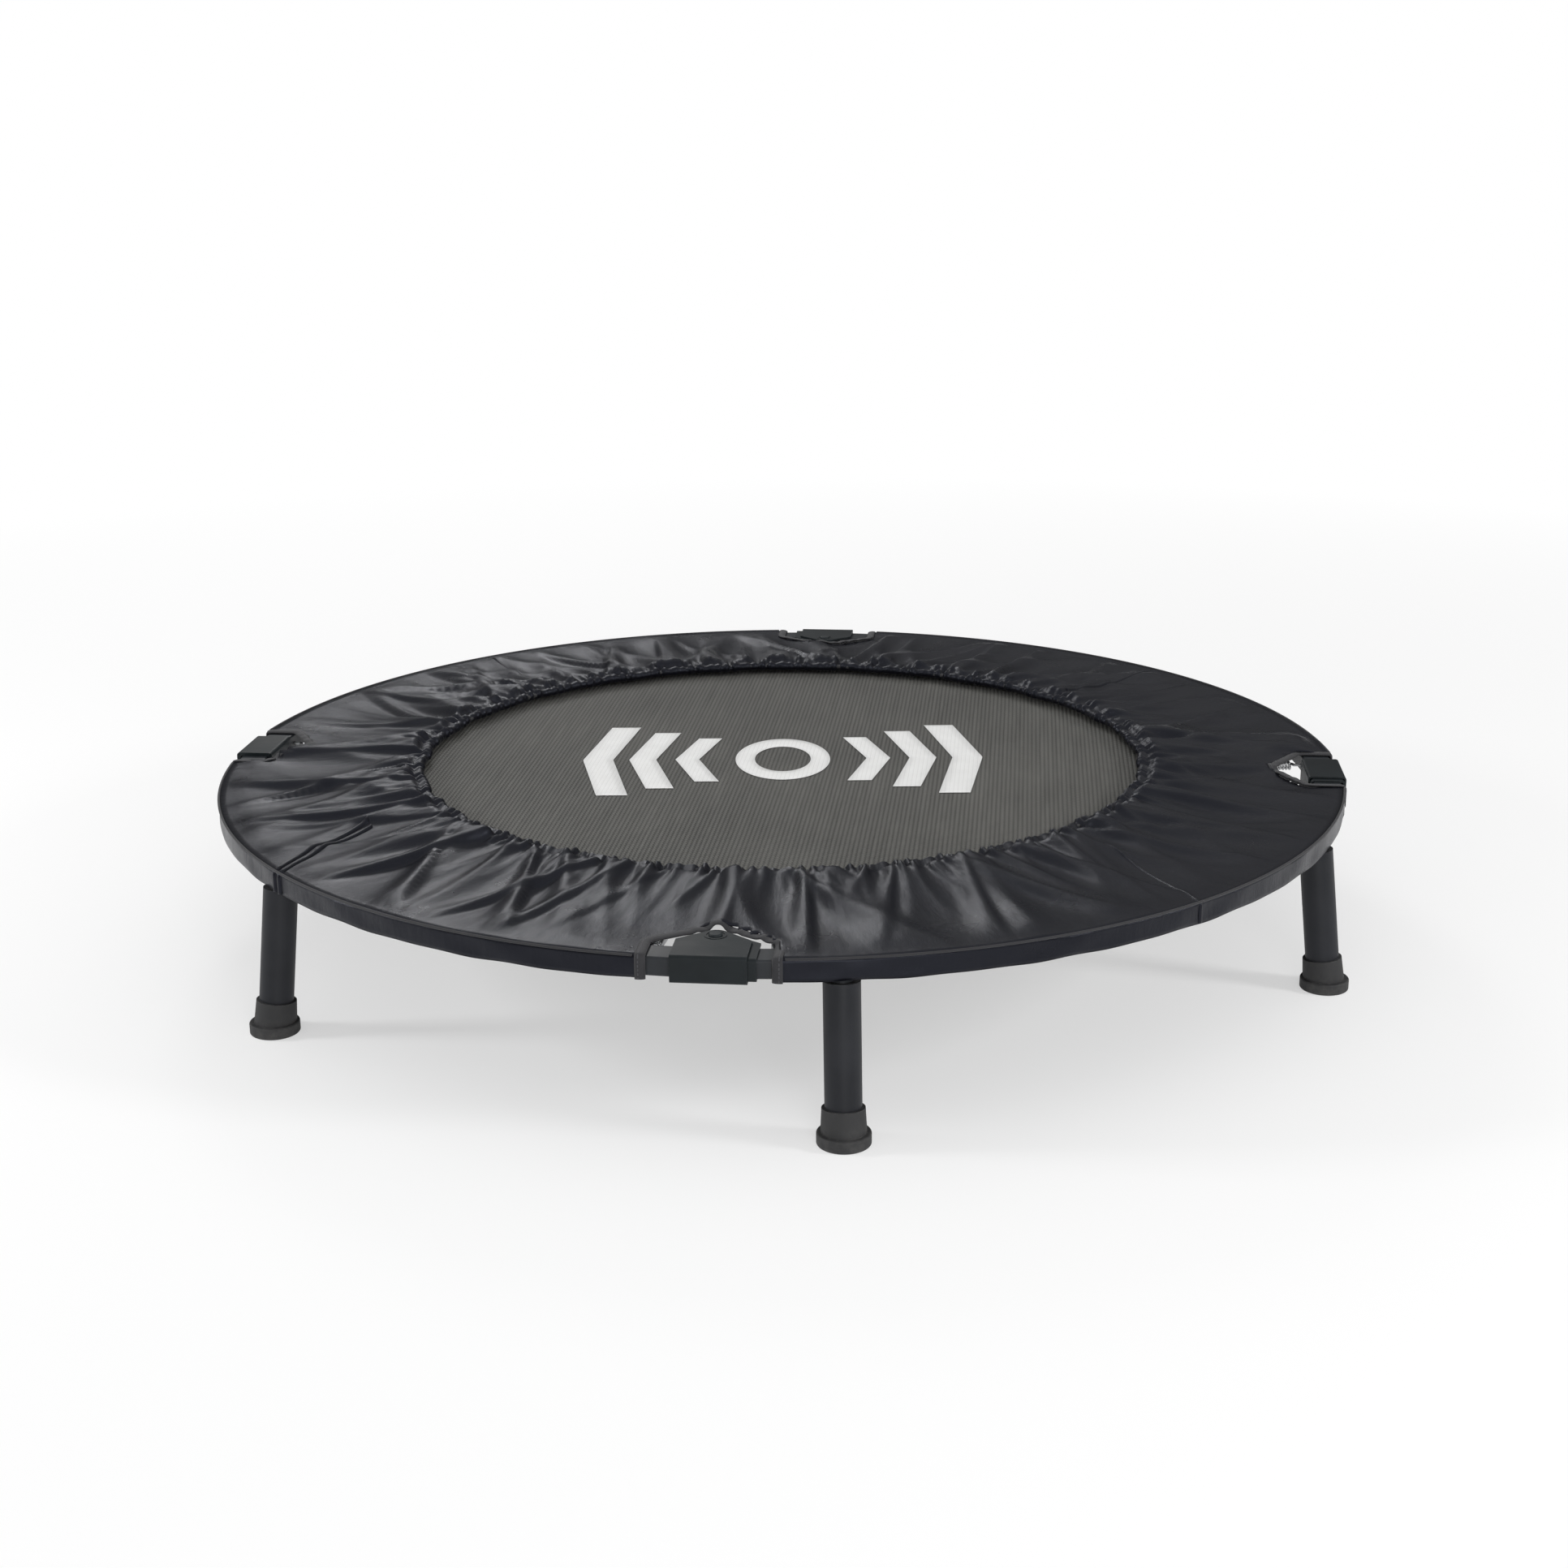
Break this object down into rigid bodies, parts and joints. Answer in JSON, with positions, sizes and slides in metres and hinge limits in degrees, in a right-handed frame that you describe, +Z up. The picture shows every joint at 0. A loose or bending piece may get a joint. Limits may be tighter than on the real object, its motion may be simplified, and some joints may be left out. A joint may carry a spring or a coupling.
{
  "type": "folding mini trampoline",
  "caption": "Low round folding mini trampoline with a woven mat, gathered dark cover, hinged tube ring and short splayed legs in rubber boots.",
  "frame": {"origin": "on the floor, under the middle of the mat", "axes": "+Z up, -Y towards the front hinge, +X to the right; the fold line lies along X"},
  "size_m": [1.0232, 1.0424, 0.1511],
  "materials": {
    "frame_paint": "satin",
    "bracket_paint": "satin",
    "leg_paint": "satin",
    "rivet_steel": "satin",
    "spring_steel": "satin",
    "boot_rubber": "matte",
    "plug_plastic": "matte",
    "mat_mesh": "matte",
    "hem_webbing": "matte",
    "cover_nylon": "satin",
    "elastic_cord": "matte"
  },
  "bodies": {
    "rear_half": {"frame_arc_rear_right": "frame_paint", "frame_arc_rear_left": "frame_paint", "hinge_rear_outer_bracket": "bracket_paint", "hinge_rear_inner_bracket": "bracket_paint", "hinge_rear_rivet": "rivet_steel", "hinge_right_outer_bracket": "bracket_paint", "hinge_right_rivet": "rivet_steel", "hinge_left_inner_bracket": "bracket_paint", "leg_studs_rear": "frame_paint", "mat_rear": "mat_mesh", "mat_hem_rear": "hem_webbing", "mat_links_rear": "spring_steel", "springs_rear": "spring_steel", "cover_panel_rear": "cover_nylon", "cover_band_rear": "cover_nylon", "cover_elastic_rear": "elastic_cord"},
    "front_half": {"frame_arc_front_right": "frame_paint", "frame_arc_front_left": "frame_paint", "hinge_front_outer_bracket": "bracket_paint", "hinge_front_inner_bracket": "bracket_paint", "hinge_front_rivet": "rivet_steel", "hinge_left_outer_bracket": "bracket_paint", "hinge_left_rivet": "rivet_steel", "hinge_right_inner_bracket": "bracket_paint", "leg_studs_front": "frame_paint", "mat_front": "mat_mesh", "mat_hem_front": "hem_webbing", "mat_links_front": "spring_steel", "springs_front": "spring_steel", "cover_panel_front": "cover_nylon", "cover_band_front": "cover_nylon", "cover_elastic_front": "elastic_cord"},
    "leg_front": {"leg_front_tube": "leg_paint", "leg_front_plug": "plug_plastic", "leg_front_boot": "boot_rubber"},
    "leg_front_right": {"leg_front_right_tube": "leg_paint", "leg_front_right_plug": "plug_plastic", "leg_front_right_boot": "boot_rubber"},
    "leg_rear_right": {"leg_rear_right_tube": "leg_paint", "leg_rear_right_plug": "plug_plastic", "leg_rear_right_boot": "boot_rubber"},
    "leg_rear": {"leg_rear_tube": "leg_paint", "leg_rear_plug": "plug_plastic", "leg_rear_boot": "boot_rubber"},
    "leg_rear_left": {"leg_rear_left_tube": "leg_paint", "leg_rear_left_plug": "plug_plastic", "leg_rear_left_boot": "boot_rubber"},
    "leg_front_left": {"leg_front_left_tube": "leg_paint", "leg_front_left_plug": "plug_plastic", "leg_front_left_boot": "boot_rubber"}
  },
  "joints": [
    {"name": "fold", "type": "hinge", "parent": "rear_half", "child": "front_half", "pos_m": [0, 0, 0.1023], "axis": [1, 0, 0], "range_deg": [0, 140]},
    {"name": "unscrew_front_leg", "type": "slide", "parent": "front_half", "child": "leg_front", "axis": [0.0216, -0.1111, -0.9936], "range_m": [0, 0.022]},
    {"name": "unscrew_front_right_leg", "type": "slide", "parent": "front_half", "child": "leg_front_right", "axis": [0.107, -0.0369, -0.9936], "range_m": [0, 0.022]},
    {"name": "unscrew_rear_right_leg", "type": "slide", "parent": "rear_half", "child": "leg_rear_right", "axis": [0.0854, 0.0743, -0.9936], "range_m": [0, 0.022]},
    {"name": "unscrew_rear_leg", "type": "slide", "parent": "rear_half", "child": "leg_rear", "axis": [-0.0216, 0.1111, -0.9936], "range_m": [0, 0.022]},
    {"name": "unscrew_rear_left_leg", "type": "slide", "parent": "rear_half", "child": "leg_rear_left", "axis": [-0.107, 0.0369, -0.9936], "range_m": [0, 0.022]},
    {"name": "unscrew_front_left_leg", "type": "slide", "parent": "front_half", "child": "leg_front_left", "axis": [-0.0854, -0.0743, -0.9936], "range_m": [0, 0.022]}
  ]
}
